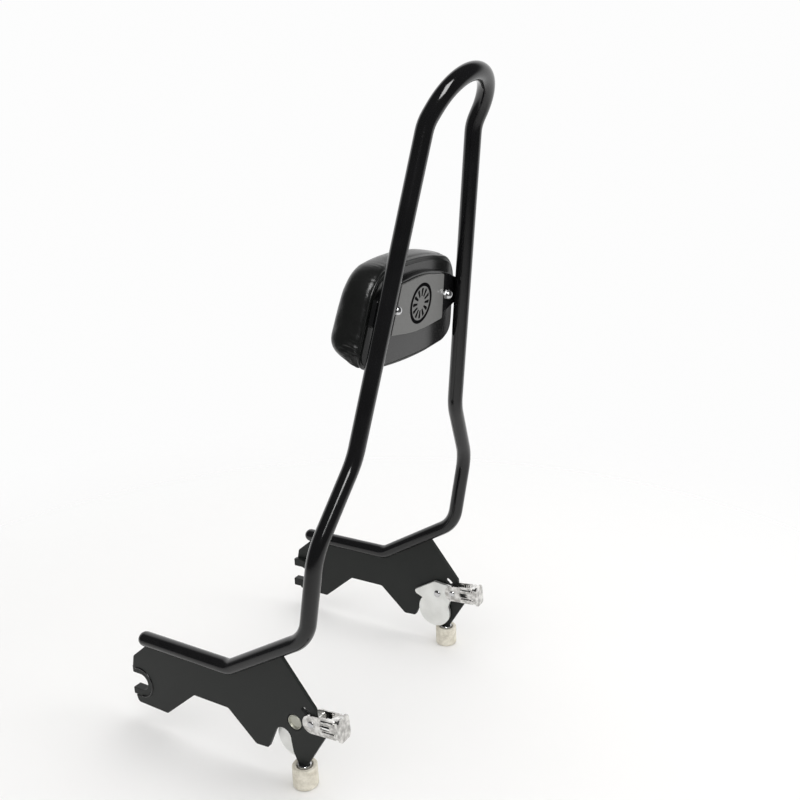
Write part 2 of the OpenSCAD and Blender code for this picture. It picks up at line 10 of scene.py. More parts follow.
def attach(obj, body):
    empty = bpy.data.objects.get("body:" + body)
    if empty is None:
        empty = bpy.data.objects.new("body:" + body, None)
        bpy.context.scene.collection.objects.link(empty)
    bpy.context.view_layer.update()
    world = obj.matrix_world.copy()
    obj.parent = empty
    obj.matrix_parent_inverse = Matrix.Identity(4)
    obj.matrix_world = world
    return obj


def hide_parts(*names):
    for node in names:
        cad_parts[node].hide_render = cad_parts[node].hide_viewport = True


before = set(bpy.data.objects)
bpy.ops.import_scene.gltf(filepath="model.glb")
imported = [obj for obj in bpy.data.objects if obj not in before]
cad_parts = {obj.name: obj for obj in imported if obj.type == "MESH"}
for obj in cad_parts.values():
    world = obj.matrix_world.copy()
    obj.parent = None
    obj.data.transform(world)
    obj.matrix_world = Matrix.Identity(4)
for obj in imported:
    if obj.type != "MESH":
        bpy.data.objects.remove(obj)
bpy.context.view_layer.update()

# ------------------------------------------------------------------ The photograph's camera
# A lens of normal length on a stand behind the left side of the part, a little lower than the
# top of the arch, turned down by sixteen degrees and tilted a little about its own axis.
camera_place = Vector((0.7109, 0.5105, 0.5841))
camera_turn = radians(120.54)
camera_down = radians(16.46)
camera_roll = radians(1.593)
sensor_mm = 36
focal_pixels, picture_pixels = 882.5, 800

sight_x = -sin(camera_turn) * cos(camera_down)
sight_y = cos(camera_turn) * cos(camera_down)
sight = Vector((sight_x, sight_y, -sin(camera_down)))
level_right = sight.cross(Vector((0, 0, 1))).normalized()
level_up = level_right.cross(sight).normalized()
camera_right = level_right * cos(camera_roll) - level_up * sin(camera_roll)
camera_up = camera_right.cross(sight).normalized()

camera = bpy.data.objects.new("photo_camera", bpy.data.cameras.new("photo_camera"))
camera.data.sensor_width = sensor_mm
camera.data.sensor_fit = "HORIZONTAL"
camera.data.lens = focal_pixels / picture_pixels * sensor_mm
camera.data.shift_x = -0.0101
camera.data.shift_y = 0.0163
camera.data.clip_start = 0.01
camera.data.clip_end = 50
camera.matrix_world = Matrix((
    (camera_right.x, camera_up.x, -sight.x, camera_place.x),
    (camera_right.y, camera_up.y, -sight.y, camera_place.y),
    (camera_right.z, camera_up.z, -sight.z, camera_place.z),
    (0, 0, 0, 1)))
bpy.context.scene.collection.objects.link(camera)
bpy.context.scene.camera = camera
bpy.context.scene.view_settings.view_transform = "Standard"

# ------------------------------------------------------------------ Floor and backdrop
# A sheet of white studio paper on the ground. It fades out a metre away, where the white of
# the tent takes over, so that no edge shows between floor and wall.
paper_r = 2.2
paper_below_feet = 0.0002
paper_whole_to, paper_gone_from = 0.2, 1.1
paper_mesh = bpy.data.meshes.new("studio_paper")
paper = bpy.data.objects.new("studio_paper", paper_mesh)
bpy.context.scene.collection.objects.link(paper)
bm = bmesh.new()
bmesh.ops.create_circle(bm, cap_ends=True, segments=96, radius=paper_r)
bmesh.ops.translate(bm, verts=bm.verts, vec=(0, 0, -paper_below_feet))
bm.to_mesh(paper_mesh)
bm.free()

paper_look = bpy.data.materials.new("studio_paper")
paper_look.use_nodes = True
nodes, links = paper_look.node_tree.nodes, paper_look.node_tree.links
shader = nodes["Principled BSDF"]
shader.inputs["Base Color"].default_value = (0.900, 0.894, 0.884, 1)
shader.inputs["Roughness"].default_value = 0.9
shader.inputs["Specular IOR Level"].default_value = 0.1
where = nodes.new("ShaderNodeTexCoord")
away = nodes.new("ShaderNodeVectorMath")
away.operation = "LENGTH"
fade = nodes.new("ShaderNodeMapRange")
fade.interpolation_type = "SMOOTHSTEP"
fade.inputs["From Min"].default_value = paper_whole_to
fade.inputs["From Max"].default_value = paper_gone_from
clear = nodes.new("ShaderNodeBsdfTransparent")
blend = nodes.new("ShaderNodeMixShader")
links.new(where.outputs["Object"], away.inputs[0])
links.new(away.outputs["Value"], fade.inputs["Value"])
links.new(fade.outputs["Result"], blend.inputs["Fac"])
links.new(shader.outputs["BSDF"], blend.inputs[1])
links.new(clear.outputs["BSDF"], blend.inputs[2])
links.new(blend.outputs["Shader"], nodes["Material Output"].inputs["Surface"])
paper_mesh.materials.append(paper_look)

# ------------------------------------------------------------------ Studio light
# A large soft box above and one on the right, in a tent whose wall behind the part is white and
# whose side behind the camera is dim. A tall window above and behind the camera shows only in
# paint and chrome, as the long bright lines down the bar.
world = bpy.data.worlds.new("pale_tent")
bpy.context.scene.world = world
world.use_nodes = True
nodes, links = world.node_tree.nodes, world.node_tree.links
nodes.clear()
tent = nodes.new("ShaderNodeBackground")
tent.inputs["Color"].default_value = (1, 1, 1, 1)
tent.inputs["Strength"].default_value = 0.80
wall = nodes.new("ShaderNodeBackground")
wall.inputs["Color"].default_value = (1, 1, 1, 1)
seen = nodes.new("ShaderNodeBackground")
seen.inputs["Color"].default_value = (0.98, 0.98, 0.98, 1)
seen.inputs["Strength"].default_value = 1.0
heading = nodes.new("ShaderNodeTexCoord")
facing = nodes.new("ShaderNodeVectorMath")
facing.operation = "DOT_PRODUCT"
facing.inputs[1].default_value = sight
level = nodes.new("ShaderNodeMapRange")
level.interpolation_type = "SMOOTHSTEP"
level.inputs["From Min"].default_value = 0.12
level.inputs["From Max"].default_value = 0.5
level.inputs["To Min"].default_value = 0.10
level.inputs["To Max"].default_value = 1.12
path = nodes.new("ShaderNodeLightPath")
by_mirror = nodes.new("ShaderNodeMath")
by_mirror.operation = "MAXIMUM"
reflect = nodes.new("ShaderNodeMixShader")
pick = nodes.new("ShaderNodeMixShader")
out = nodes.new("ShaderNodeOutputWorld")
links.new(heading.outputs["Generated"], facing.inputs[0])
links.new(facing.outputs["Value"], level.inputs["Value"])
links.new(level.outputs["Result"], wall.inputs["Strength"])
links.new(path.outputs["Is Glossy Ray"], by_mirror.inputs[0])
links.new(path.outputs["Is Transmission Ray"], by_mirror.inputs[1])
links.new(by_mirror.outputs["Value"], reflect.inputs["Fac"])
links.new(tent.outputs["Background"], reflect.inputs[1])
links.new(wall.outputs["Background"], reflect.inputs[2])
links.new(path.outputs["Is Camera Ray"], pick.inputs["Fac"])
links.new(reflect.outputs["Shader"], pick.inputs[1])
links.new(seen.outputs["Background"], pick.inputs[2])
links.new(pick.outputs["Shader"], out.inputs["Surface"])


def soft_box(name, place, aim, width, height, power, mirrored):
    """A rectangular lamp; a mirrored one shows only in paint and chrome, the others only as light."""
    lamp = bpy.data.lights.new(name, "AREA")
    lamp.shape = "RECTANGLE"
    lamp.size = width
    lamp.size_y = height
    lamp.energy = power
    holder = bpy.data.objects.new(name, lamp)
    holder.location = place
    holder.rotation_euler = (Vector(aim) - Vector(place)).to_track_quat("-Z", "Y").to_euler()
    holder.visible_glossy = mirrored
    holder.visible_diffuse = not mirrored
    bpy.context.scene.collection.objects.link(holder)


soft_box(
    "top_box", place=(-0.3, 0.2, 2.4), aim=(0, 0, 0.2), width=1.9, height=1.9, power=16.6,
    mirrored=False)
soft_box(
    "right_box", place=(-0.5, 2.3, 1.5), aim=(0, 0, 0.3), width=1.5, height=1.3, power=14.4,
    mirrored=False)
soft_box(
    "window", place=(1.36, 1.10, 1.71), aim=(0, 0.1, 0.5), width=0.85, height=1.45, power=50,
    mirrored=True)

# ------------------------------------------------------------------ Hoop bar
# One length of 16 mm round steel bar, bent cold at the vee, heel, shoulder, waist and kick
# and over the arch, with domed ends, powder coated in gloss black.
bar_r = 0.00796
rail_x = 0.146
waist_x = 0.0975
lean = radians(10)
taper = radians(10.4)
kick = radians(22)
heel_slope = radians(30.8)
shoulder_s, waist_s, kick_s = 0.089, 0.1635, 0.452
rail_z, rail_front_y, vee_y, heel_y = 0.103, -0.1486, -0.0346, 0.0634
heel_z = rail_z + (heel_y - vee_y) * tan(heel_slope)
vee_r, heel_r, shoulder_r, waist_r, kick_r, arch_r = 0.024, 0.038, 0.060, 0.060, 0.038, 0.04275
bar_sides = 40
degrees_a_ring = 5
dome_rings = (18, 36, 52, 66, 78)


def on_lean(x, s):
    """A point of the legs' leaning plane: across the part, and up along the lean from the heel."""
    return Vector((x, heel_y + s * sin(lean), heel_z + s * cos(lean)))


kick_x = waist_x - (kick_s - waist_s) * tan(taper)
kick_point = on_lean(kick_x, kick_s)
apex = on_lean(0, kick_s) + (kick_x / tan(taper)) * Vector((0, sin(lean + kick), cos(lean + kick)))
left_corners = [
    (Vector((rail_x, rail_front_y, rail_z)), 0),
    (Vector((rail_x, vee_y, rail_z)), vee_r),
    (on_lean(rail_x, 0), heel_r),
    (on_lean(rail_x, shoulder_s), shoulder_r),
    (on_lean(waist_x, waist_s), waist_r),
    (kick_point, kick_r)]
flip = Vector((-1, 1, 1))
bar_corners = left_corners + [(apex, arch_r)] + [(corner * flip, r) for corner, r in reversed(left_corners)]

bar_mesh = bpy.data.meshes.new("bent_bar")
bar = bpy.data.objects.new("bent_bar", bar_mesh)
bpy.context.scene.collection.objects.link(bar)
bm = bmesh.new()
first, second = bar_corners[0][0], bar_corners[1][0]
ahead = (second - first).normalized()
square_on = Matrix.Translation(first) @ ahead.to_track_quat("Z", "Y").to_matrix().to_4x4()
made = bmesh.ops.create_circle(bm, segments=bar_sides, radius=bar_r, matrix=square_on)
ring = list(made["verts"])


def ring_edges(verts):
    """The edges that join the points of one ring."""
    inside = set(verts)
    return list({e for v in verts for e in v.link_edges if e.other_vert(v) in inside})


def push_ring(verts, vector):
    """Draws the bar straight on from its last ring and returns the new ring."""
    grown = bmesh.ops.extrude_edge_only(bm, edges=ring_edges(verts))
    new = [g for g in grown["geom"] if isinstance(g, bmesh.types.BMVert)]
    bmesh.ops.translate(bm, verts=new, vec=vector)
    return new


def dome_ring(verts, direction):
    """Rounds the bar's end over from its last ring and closes it."""
    centre = sum((v.co for v in verts), Vector()) / len(verts)
    rise, wide = 0.0, 1.0
    for angle in dome_rings:
        height, width = bar_r * sin(radians(angle)), cos(radians(angle))
        verts = push_ring(verts, direction * (height - rise))
        about_axis = Matrix.Translation(-(centre + direction * height))
        bmesh.ops.scale(bm, verts=verts, vec=Vector((1, 1, 1)) * (width / wide), space=about_axis)
        rise, wide = height, width
    tip = bmesh.ops.extrude_edge_only(bm, edges=ring_edges(verts))
    verts = [g for g in tip["geom"] if isinstance(g, bmesh.types.BMVert)]
    bmesh.ops.pointmerge(bm, verts=verts, merge_co=centre + direction * bar_r)


start_ring = ring
place = first
for index in range(1, len(bar_corners) - 1):
    corner, bend_r = bar_corners[index]
    back = (bar_corners[index - 1][0] - corner).normalized()
    on = (bar_corners[index + 1][0] - corner).normalized()
    half = back.angle(on) / 2
    reach = bend_r / tan(half)
    ring = push_ring(ring, corner + back * reach - place)
    centre = corner + (back + on).normalized() * bend_r / sin(half)
    turn = pi - 2 * half
    spun = bmesh.ops.spin(
        bm, geom=ring_edges(ring) + ring, cent=centre, axis=(-back).cross(on).normalized(), dvec=(0, 0, 0),
        angle=turn, steps=max(4, round(degrees(turn) / degrees_a_ring)),
        use_merge=False, use_normal_flip=False, use_duplicate=False)
    ring = [g for g in spun["geom_last"] if isinstance(g, bmesh.types.BMVert)]
    place = corner + on * reach
last, before_last = bar_corners[-1][0], bar_corners[-2][0]
ring = push_ring(ring, last - place)
dome_ring(ring, (last - before_last).normalized())
dome_ring(start_ring, -ahead)
bmesh.ops.remove_doubles(bm, verts=bm.verts, dist=1e-6)
bmesh.ops.recalc_face_normals(bm, faces=bm.faces)
for face in bm.faces:
    face.smooth = True
bm.to_mesh(bar_mesh)
bm.free()

gloss_black = bpy.data.materials.new("gloss_black_powder")
gloss_black.use_nodes = True
nodes, links = gloss_black.node_tree.nodes, gloss_black.node_tree.links
shader = nodes["Principled BSDF"]
shader.inputs["Specular IOR Level"].default_value = 0.47
where = nodes.new("ShaderNodeTexCoord")
orange_peel = nodes.new("ShaderNodeTexNoise")
orange_peel.inputs["Scale"].default_value = 260
orange_peel.inputs["Detail"].default_value = 3
dust = nodes.new("ShaderNodeTexNoise")
dust.inputs["Scale"].default_value = 38
dust.inputs["Detail"].default_value = 5
tone = nodes.new("ShaderNodeValToRGB")
tone.color_ramp.elements[0].position = 0.3
tone.color_ramp.elements[0].color = (0.0040, 0.0040, 0.0044, 1)
tone.color_ramp.elements[1].position = 0.75
tone.color_ramp.elements[1].color = (0.0068, 0.0068, 0.0074, 1)
rough = nodes.new("ShaderNodeMapRange")
rough.inputs["To Min"].default_value = 0.08
rough.inputs["To Max"].default_value = 0.16
peel = nodes.new("ShaderNodeBump")
peel.inputs["Strength"].default_value = 0.05
peel.inputs["Distance"].default_value = 0.0004
links.new(where.outputs["Object"], orange_peel.inputs["Vector"])
links.new(where.outputs["Object"], dust.inputs["Vector"])
links.new(dust.outputs["Fac"], tone.inputs["Fac"])
links.new(dust.outputs["Fac"], rough.inputs["Value"])
links.new(tone.outputs["Color"], shader.inputs["Base Color"])
links.new(rough.outputs["Result"], shader.inputs["Roughness"])
links.new(orange_peel.outputs["Fac"], peel.inputs["Height"])
links.new(peel.outputs["Normal"], shader.inputs["Normal"])
bar_mesh.materials.append(gloss_black)
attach(bar, "frame")
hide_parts("hoop_bar")

# ------------------------------------------------------------------ Side plates
# Laser-cut steel plate, 4 mm thick, with its edges lightly broken, welded under the rail of
# the bar on each side and coated in satin black together with the notch liners.
plate_ease = 0.0006
sharp_from = radians(35)
flat_within = radians(0.5)
merge_within = 2e-6


def break_edges(work, ease, segments=3):
    """Rounds the sharp edges of a closed shell over by the width given."""
    sharp = [e for e in work.edges if e.is_manifold and e.calc_face_angle(0) > sharp_from]
    bmesh.ops.bevel(
        work, geom=sharp, offset=ease, offset_type="OFFSET", segments=segments, profile=0.5,
        affect="EDGES", clamp_overlap=True, material=-1)


def eased(node, name, ease):
    """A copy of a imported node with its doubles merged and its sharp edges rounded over."""
    mesh = bpy.data.meshes.new(name)
    piece = bpy.data.objects.new(name, mesh)
    bpy.context.scene.collection.objects.link(piece)
    work = bmesh.new()
    work.from_mesh(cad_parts[node].data)
    bmesh.ops.remove_doubles(work, verts=work.verts, dist=merge_within)
    bmesh.ops.dissolve_limit(
        work, angle_limit=flat_within, verts=work.verts, edges=work.edges, delimit=set())
    break_edges(work, ease)
    for face in work.faces:
        face.smooth = True
    work.to_mesh(mesh)
    work.free()
    keep_flat = piece.modifiers.new("keep_flats_flat", "WEIGHTED_NORMAL")
    keep_flat.weight = 100
    keep_flat.keep_sharp = True
    return piece


satin_black = bpy.data.materials.new("satin_black_powder")
satin_black.use_nodes = True
nodes, links = satin_black.node_tree.nodes, satin_black.node_tree.links
shader = nodes["Principled BSDF"]
shader.inputs["Specular IOR Level"].default_value = 0.3
where = nodes.new("ShaderNodeTexCoord")
grain = nodes.new("ShaderNodeTexNoise")
grain.inputs["Scale"].default_value = 1500
grain.inputs["Detail"].default_value = 3
cloud = nodes.new("ShaderNodeTexNoise")
cloud.inputs["Scale"].default_value = 14
cloud.inputs["Detail"].default_value = 4
tone = nodes.new("ShaderNodeValToRGB")
tone.color_ramp.elements[0].position = 0.3
tone.color_ramp.elements[0].color = (0.0085, 0.0102, 0.0092, 1)
tone.color_ramp.elements[1].position = 0.72
tone.color_ramp.elements[1].color = (0.0130, 0.0152, 0.0137, 1)
rough = nodes.new("ShaderNodeMapRange")
rough.inputs["To Min"].default_value = 0.42
rough.inputs["To Max"].default_value = 0.54
texture = nodes.new("ShaderNodeBump")
texture.inputs["Strength"].default_value = 0.22
texture.inputs["Distance"].default_value = 0.00015
links.new(where.outputs["Object"], grain.inputs["Vector"])
links.new(where.outputs["Object"], cloud.inputs["Vector"])
links.new(cloud.outputs["Fac"], tone.inputs["Fac"])
links.new(cloud.outputs["Fac"], rough.inputs["Value"])
links.new(tone.outputs["Color"], shader.inputs["Base Color"])
links.new(rough.outputs["Result"], shader.inputs["Roughness"])
links.new(grain.outputs["Fac"], texture.inputs["Height"])
links.new(texture.outputs["Normal"], shader.inputs["Normal"])

for side in ("left", "right"):
    plate = eased(side + "_side_plate", side + "_docking_plate", plate_ease)
    plate.data.materials.append(satin_black)
    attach(plate, "frame")
    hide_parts(side + "_side_plate")

# ------------------------------------------------------------------ Notch liners
# A U-shaped liner turned from bar stock, let into the front notch of each plate, with a
# shoulder on the inner face. It takes the wear of the docking bushing.
liner_ease = 0.0005
for side in ("left", "right"):
    liner = eased(side + "_notch_bushing", side + "_notch_liner", liner_ease)
    liner.data.materials.append(satin_black)
    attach(liner, "frame")
    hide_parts(side + "_notch_bushing")

# ------------------------------------------------------------------ Notch shade beads
# A thin gloss-black bead round the notch on each plate's outer face, open at the front where the
# docking bushing enters: painted shade for the shadow the notch's edge casts on the recessed liner.
notch_middle = Vector((0, -0.1626, 0.0475))
bead_r = 0.0009
bead_x = 0.1480
bead_bend_r = 0.0168
bead_start, bead_sweep = radians(22), radians(205)
for side, across in (("left", 1), ("right", -1)):
    notch_shade_bead_mesh = bpy.data.meshes.new(side + "_notch_shade_bead")
    notch_shade_bead = bpy.data.objects.new(side + "_notch_shade_bead", notch_shade_bead_mesh)
    bpy.context.scene.collection.objects.link(notch_shade_bead)
    bm = bmesh.new()
    bmesh.ops.create_circle(
        bm, cap_ends=True, segments=12, radius=bead_r, matrix=Matrix.Rotation(pi / 2, 4, "Y"))
    bmesh.ops.rotate(bm, verts=bm.verts, matrix=Matrix.Rotation(pi / 2, 3, "Z"))
    bmesh.ops.translate(bm, verts=bm.verts, vec=notch_middle + Vector((across * bead_x, 0, bead_bend_r)))
    bmesh.ops.rotate(
        bm, verts=bm.verts, cent=notch_middle, matrix=Matrix.Rotation(bead_start, 3, "X"))
    bmesh.ops.spin(
        bm, geom=bm.faces[:] + bm.edges[:] + bm.verts[:], cent=notch_middle, axis=(1, 0, 0),
        dvec=(0, 0, 0), angle=-bead_sweep, steps=40, use_merge=False, use_normal_flip=False,
        use_duplicate=False)
    bmesh.ops.recalc_face_normals(bm, faces=bm.faces)
    for face in bm.faces:
        face.smooth = True
    bm.to_mesh(notch_shade_bead_mesh)
    bm.free()
    notch_shade_bead_mesh.materials.append(gloss_black)
    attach(notch_shade_bead, "frame")

# ------------------------------------------------------------------ Cross plate
# Flat steel plate with bowed edges that joins the legs behind the pad, welded to the front of
# both legs with short fillet beads and coated in gloss black with the bar.
cross_piece = eased("cross_plate", "pad_cross_plate", plate_ease)
cross_piece.data.materials.append(gloss_black)
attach(cross_piece, "frame")
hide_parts("cross_plate")

# ------------------------------------------------------------------ Badge plate
# Plate of 2 mm steel in grey paint, fixed on the back of the cross plate between the two nuts,
# with a plain ring of engraved strokes. Each end is drawn out until its corners meet the nuts.
badge_ease = 0.0003
badge_end_x, badge_drawn_out = 0.030, 0.0055
badge = eased("badge_plate", "badge_disc", badge_ease)
for vert in badge.data.vertices:
    if abs(vert.co.x) > badge_end_x:
        vert.co.x += badge_drawn_out if vert.co.x > 0 else -badge_drawn_out
badge_grey = bpy.data.materials.new("badge_grey_paint")
badge_grey.use_nodes = True
nodes, links = badge_grey.node_tree.nodes, badge_grey.node_tree.links
shader = nodes["Principled BSDF"]
shader.inputs["Metallic"].default_value = 0.1
where = nodes.new("ShaderNodeTexCoord")
fleck = nodes.new("ShaderNodeTexNoise")
fleck.inputs["Scale"].default_value = 900
fleck.inputs["Detail"].default_value = 2
tone = nodes.new("ShaderNodeValToRGB")
tone.color_ramp.elements[0].position = 0.35
tone.color_ramp.elements[0].color = (0.115, 0.115, 0.111, 1)
tone.color_ramp.elements[1].position = 0.7
tone.color_ramp.elements[1].color = (0.150, 0.150, 0.146, 1)
rough = nodes.new("ShaderNodeMapRange")
rough.inputs["To Min"].default_value = 0.36
rough.inputs["To Max"].default_value = 0.46
links.new(where.outputs["Object"], fleck.inputs["Vector"])
links.new(fleck.outputs["Fac"], tone.inputs["Fac"])
links.new(fleck.outputs["Fac"], rough.inputs["Value"])
links.new(tone.outputs["Color"], shader.inputs["Base Color"])
links.new(rough.outputs["Result"], shader.inputs["Roughness"])
badge.data.materials.append(badge_grey)
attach(badge, "frame")
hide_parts("badge_plate")

# ------------------------------------------------------------------ Badge enamel
# Black enamel that fills the twelve strokes and makes a plain circle round them, stoved a tenth
# or two of a millimetre proud of the grey paint.
lean_frame = Matrix((
    (1, 0, 0, 0),
    (0, sin(lean), -cos(lean), heel_y),
    (0, cos(lean), sin(lean), heel_z),
    (0, 0, 0, 1)))
badge_mid_s, badge_face = 0.291, 0.0057
stroke_count = 12
stroke_out_width, stroke_in_width = 0.0034, 0.0018
stroke_length, stroke_mid_r, stroke_thick = 0.0076, 0.0106, 0.0003
stroke_sunk = 0.00005
circle_in_r, circle_out_r = 0.0164, 0.0196
circle_sunk, circle_proud = 0.0001, 0.0002
enamel_ease = 0.00008
enamel_mesh = bpy.data.meshes.new("badge_enamel")
enamel = bpy.data.objects.new("badge_enamel", enamel_mesh)
bpy.context.scene.collection.objects.link(enamel)
bm = bmesh.new()
for index in range(stroke_count):
    made = bmesh.ops.create_cube(bm, size=1)["verts"]
    for vert in made:
        vert.co.y *= stroke_out_width if vert.co.x > 0 else stroke_in_width
    bmesh.ops.scale(bm, vec=(stroke_length, 1, stroke_thick), verts=made)
    bmesh.ops.translate(bm, vec=(stroke_mid_r, 0, badge_face + stroke_sunk), verts=made)
    bmesh.ops.rotate(bm, verts=made, matrix=Matrix.Rotation(2 * pi * index / stroke_count, 3, "Z"))
break_edges(bm, enamel_ease, segments=2)
section = [
    bm.verts.new((circle_in_r, 0, badge_face + circle_sunk)),
    bm.verts.new((circle_out_r, 0, badge_face + circle_sunk)),
    bm.verts.new((circle_out_r, 0, badge_face - circle_proud)),
    bm.verts.new((circle_in_r, 0, badge_face - circle_proud))]
sides = [bm.edges.new((here, beyond)) for here, beyond in zip(section, section[1:] + section[:1])]
bmesh.ops.spin(
    bm, geom=section + sides, cent=(0, 0, 0), axis=(0, 0, 1), dvec=(0, 0, 0), angle=2 * pi,
    steps=72, use_merge=True, use_normal_flip=False, use_duplicate=False)
bmesh.ops.remove_doubles(bm, verts=bm.verts, dist=1e-7)
bmesh.ops.translate(bm, vec=(0, badge_mid_s, 0), verts=bm.verts)
bmesh.ops.transform(bm, matrix=lean_frame, verts=bm.verts)
bmesh.ops.recalc_face_normals(bm, faces=bm.faces)
bm.to_mesh(enamel_mesh)
bm.free()
black_enamel = gloss_black.copy()
black_enamel.name = "black_enamel"
black_enamel.node_tree.nodes["Principled BSDF"].inputs["Specular IOR Level"].default_value = 0.0
enamel_mesh.materials.append(black_enamel)
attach(enamel, "frame")

# ------------------------------------------------------------------ Pad
# A foam cushion in black vinyl, pulled over its backing board and stapled behind it. The rear
# panel and the boxing meet in a piped seam, and the vinyl gathers in pleats at the corners.
pad_low_s, pad_high_s = 0.234, 0.332
pad_bow = 0.007
pad_half_low, pad_half_top = 0.089, 0.073
pad_low_corner_r, pad_top_corner_r = 0.019, 0.022
pad_back = 0.013
pad_depth = 0.039
pad_mid_s = (pad_low_s + pad_high_s) / 2
half_height = (pad_high_s - pad_low_s) / 2


def pad_outline(work, inset, forward, crown=1.0):
    """The pad's outline as one face: bowed edges between four rounded corners."""
    low, high = pad_low_s + pad_bow + inset, pad_high_s - pad_bow - inset
    wide, narrow = pad_half_low - inset, pad_half_top - inset
    corners, ring = [], []
    for edge_s, half_width, bow, turn in ((low, wide, -pad_bow, 1), (high, narrow, pad_bow * crown, -1)):
        for along in (-1, -0.42, -0.28, -0.14, 0, 0.14, 0.28, 0.42, 1):
            x = along * half_width * turn
            vert = work.verts.new((x, edge_s + bow * (1 - along * along), forward))
            ring.append(vert)
            if abs(along) == 1:
                corners.append(vert)
    work.faces.new(ring)
    for pair, corner_r in ((corners[:2], pad_low_corner_r), (corners[2:], pad_top_corner_r)):
        bmesh.ops.bevel(
            work, geom=pair, offset=corner_r, offset_type="OFFSET", segments=9, profile=0.5,
            affect="VERTICES", clamp_overlap=True, material=-1)
    work.normal_update()


cushion_mesh = bpy.data.meshes.new("vinyl_cushion")
cushion = bpy.data.objects.new("vinyl_cushion", cushion_mesh)
bpy.context.scene.collection.objects.link(cushion)
seam_inset, seam_forward, seam_crown = 0.0006, 0.0002, 1.1
bm = bmesh.new()
pad_outline(bm, seam_inset, pad_back + seam_forward, seam_crown)
edges = list(bm.edges)
# How far the foam stands in from the outline at each depth, from the seam to the crowned front.
foam_section = (
    (0.0025, -0.0004), (0.008, -0.0016), (0.016, -0.0020), (0.024, -0.0014), (0.0295, 0.0006),
    (0.0335, 0.0050), (0.0358, 0.0105), (0.0370, 0.0185), (0.0376, 0.030))
about_middle = Matrix.Translation((0, -pad_mid_s, 0))
wide_now, tall_now, depth_now = pad_half_low - seam_inset, half_height - seam_inset, 0.0
for depth, inset in foam_section:
    grown = bmesh.ops.extrude_edge_only(bm, edges=edges)
    new = [g for g in grown["geom"] if isinstance(g, bmesh.types.BMVert)]
    bmesh.ops.translate(bm, verts=new, vec=(0, 0, depth - depth_now))
    wide, tall = pad_half_low - inset, half_height - inset
    bmesh.ops.scale(bm, verts=new, vec=(wide / wide_now, tall / tall_now, 1), space=about_middle)
    wide_now, tall_now, depth_now = wide, tall, depth
    edges = ring_edges(new)
bmesh.ops.contextual_create(bm, geom=edges)
bmesh.ops.recalc_face_normals(bm, faces=bm.faces)
bmesh.ops.transform(bm, matrix=lean_frame, verts=bm.verts)
bm.to_mesh(cushion_mesh)
bm.free()

grid = cushion.modifiers.new("even_cloth", "REMESH")
grid.mode = "VOXEL"
grid.voxel_size = 0.0032
depsgraph = bpy.context.evaluated_depsgraph_get()
even = bpy.data.meshes.new_from_object(cushion.evaluated_get(depsgraph))
cushion.modifiers.clear()
cushion.data = even
even.name = "vinyl_cushion"
from_lean = lean_frame.inverted()
staple_reach = 0.0025
swell_limit = 0.005
cloth_frames = 20
held = cushion.vertex_groups.new(name="stapled")
at_back = [v.index for v in even.vertices if (from_lean @ v.co).z < pad_back + staple_reach]
held.add(at_back, 1.0, "REPLACE")
rest = [(v.co.copy(), v.normal.copy()) for v in even.vertices]
cloth = cushion.modifiers.new("vinyl", "CLOTH")
cloth.settings.quality = 6
cloth.settings.mass = 0.2
cloth.settings.tension_stiffness = 8
cloth.settings.compression_stiffness = 8
cloth.settings.shear_stiffness = 6
cloth.settings.bending_stiffness = 0.6
cloth.settings.use_pressure = True
cloth.settings.uniform_pressure_force = 5
cloth.settings.vertex_group_mass = "stapled"
cloth.settings.effector_weights.gravity = 0
cloth.collision_settings.use_self_collision = False
cloth.point_cache.frame_end = cloth_frames
for step in range(1, cloth_frames + 1):
    bpy.context.scene.frame_set(step)
depsgraph = bpy.context.evaluated_depsgraph_get()
swollen = bpy.data.meshes.new_from_object(cushion.evaluated_get(depsgraph))
cushion.modifiers.clear()
bpy.context.scene.frame_set(1)
for vert, (before, outward) in zip(swollen.vertices, rest):
    moved = vert.co - before
    moved -= outward * min(0.0, moved.dot(outward))
    if moved.length > swell_limit:
        moved = moved.normalized() * swell_limit
    vert.co = before + moved
cushion.data = swollen
cushion_mesh = cushion.data
bm = bmesh.new()
bm.from_mesh(cushion_mesh)
for _ in range(2):
    bmesh.ops.smooth_vert(
        bm, verts=bm.verts, factor=0.5, use_axis_x=True, use_axis_y=True, use_axis_z=True)
bmesh.ops.subdivide_edges(bm, edges=bm.edges, cuts=1, use_grid_fill=True, smooth=0.6)
bmesh.ops.transform(bm, matrix=from_lean, verts=bm.verts)

chin_lift, chin_tuck, chin_tuck_reach = 0.0100, 0.0032, 0.010
belly_s, belly_half = 0.268, 0.040
belly_widening, chin_narrowing, belly_forward = 0.024, 0.02, 0.0016
fold_s, fold_half_s, fold_f, fold_half_f, fold_depth = 0.250, 0.022, 0.014, 0.013, 0.0011
fold_from_s, fold_by_s, fold_by_depth, fold_by_x = 0.245, 430, 300, 26
groove_f, groove_half_f, groove_depth, groove_out = 0.0045, 0.0022, 0.0009, 0.72
pleat_f, pleat_half_f, pleat_out = 0.009, 0.012, 0.6
pleat_start, pleat_fade, pleats_a_turn = 0.010, 0.018, 21
pleated_corners = (
    (-0.078, 0.250, 0.0011), (0.078, 0.250, 0.0011), (-0.058, 0.318, 0.0002), (0.058, 0.318, 0.0002))


def share(value, start, span):
    """Nought up to the start, then rising to one over the span."""
    return min(1.0, max(0.0, value - start) / span)


def hump(value, middle, half):
    """One at the middle, falling to nought half a width away on each side."""
    return max(0.0, 1 - abs(value - middle) / half)


